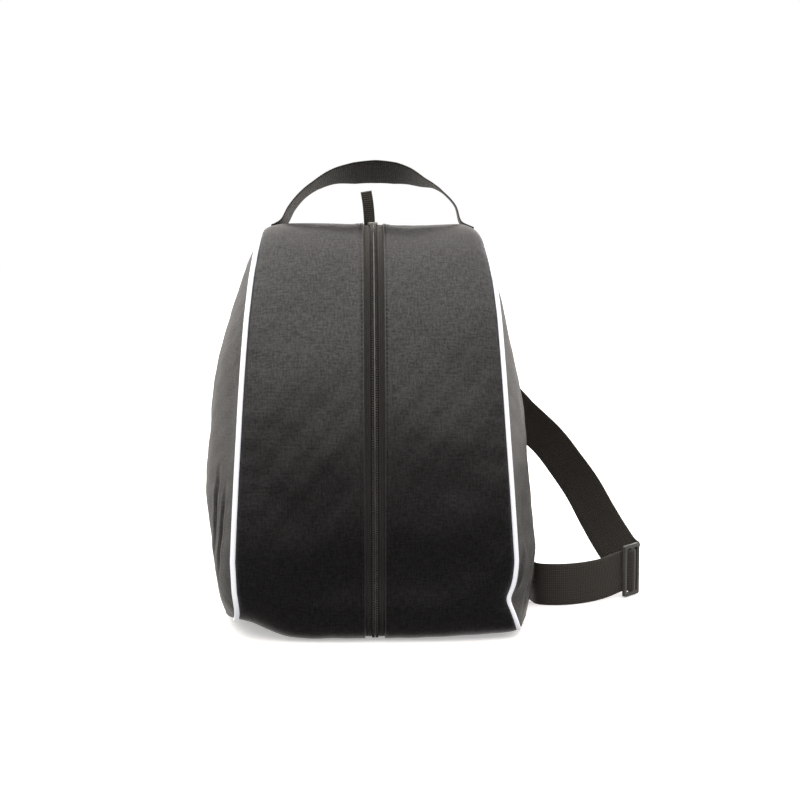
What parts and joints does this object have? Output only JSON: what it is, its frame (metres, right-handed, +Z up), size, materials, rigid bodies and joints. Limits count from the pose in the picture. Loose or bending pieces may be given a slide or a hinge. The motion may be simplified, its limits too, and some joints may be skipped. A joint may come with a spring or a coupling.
{
  "type": "motorcycle helmet bag",
  "caption": "Soft zipped bag with a flat base for carrying one full-face helmet, with a webbing hand loop on top and an adjustable shoulder strap at its right side.",
  "frame": {"origin": "middle of the base's underside, on the floor", "axes": "+X to the wearer's strap side, the right in the picture, +Y to the back panel, away from the zip, +Z up"},
  "size_m": [0.4143, 0.2688, 0.4196],
  "materials": {
    "band_cloth": "matt black woven polyester",
    "side_cloth": "matt black woven polyester, seen at a slant",
    "piping": "satin white cord piping",
    "zip_tape": "dull black woven tape",
    "zip_chain": "black nylon coil",
    "zip_metal": "black lacquered metal",
    "webbing": "dull black ribbed webbing",
    "slider_plastic": "glossy black plastic"
  },
  "bodies": {
    "root": {"band_left": "band_cloth", "band_right": "band_cloth", "back_panel": "band_cloth", "base_panel": "band_cloth", "side_panel_left": "side_cloth", "side_panel_right": "side_cloth", "piping_left": "piping", "piping_right": "piping", "zip_tape_left": "zip_tape", "zip_tape_right": "zip_tape", "zip_chain": "zip_chain", "zip_slider": "zip_metal", "zip_pull": "webbing", "hand_loop": "webbing", "strap_slider": "slider_plastic", "shoulder_strap": "webbing"}
  },
  "joints": []
}
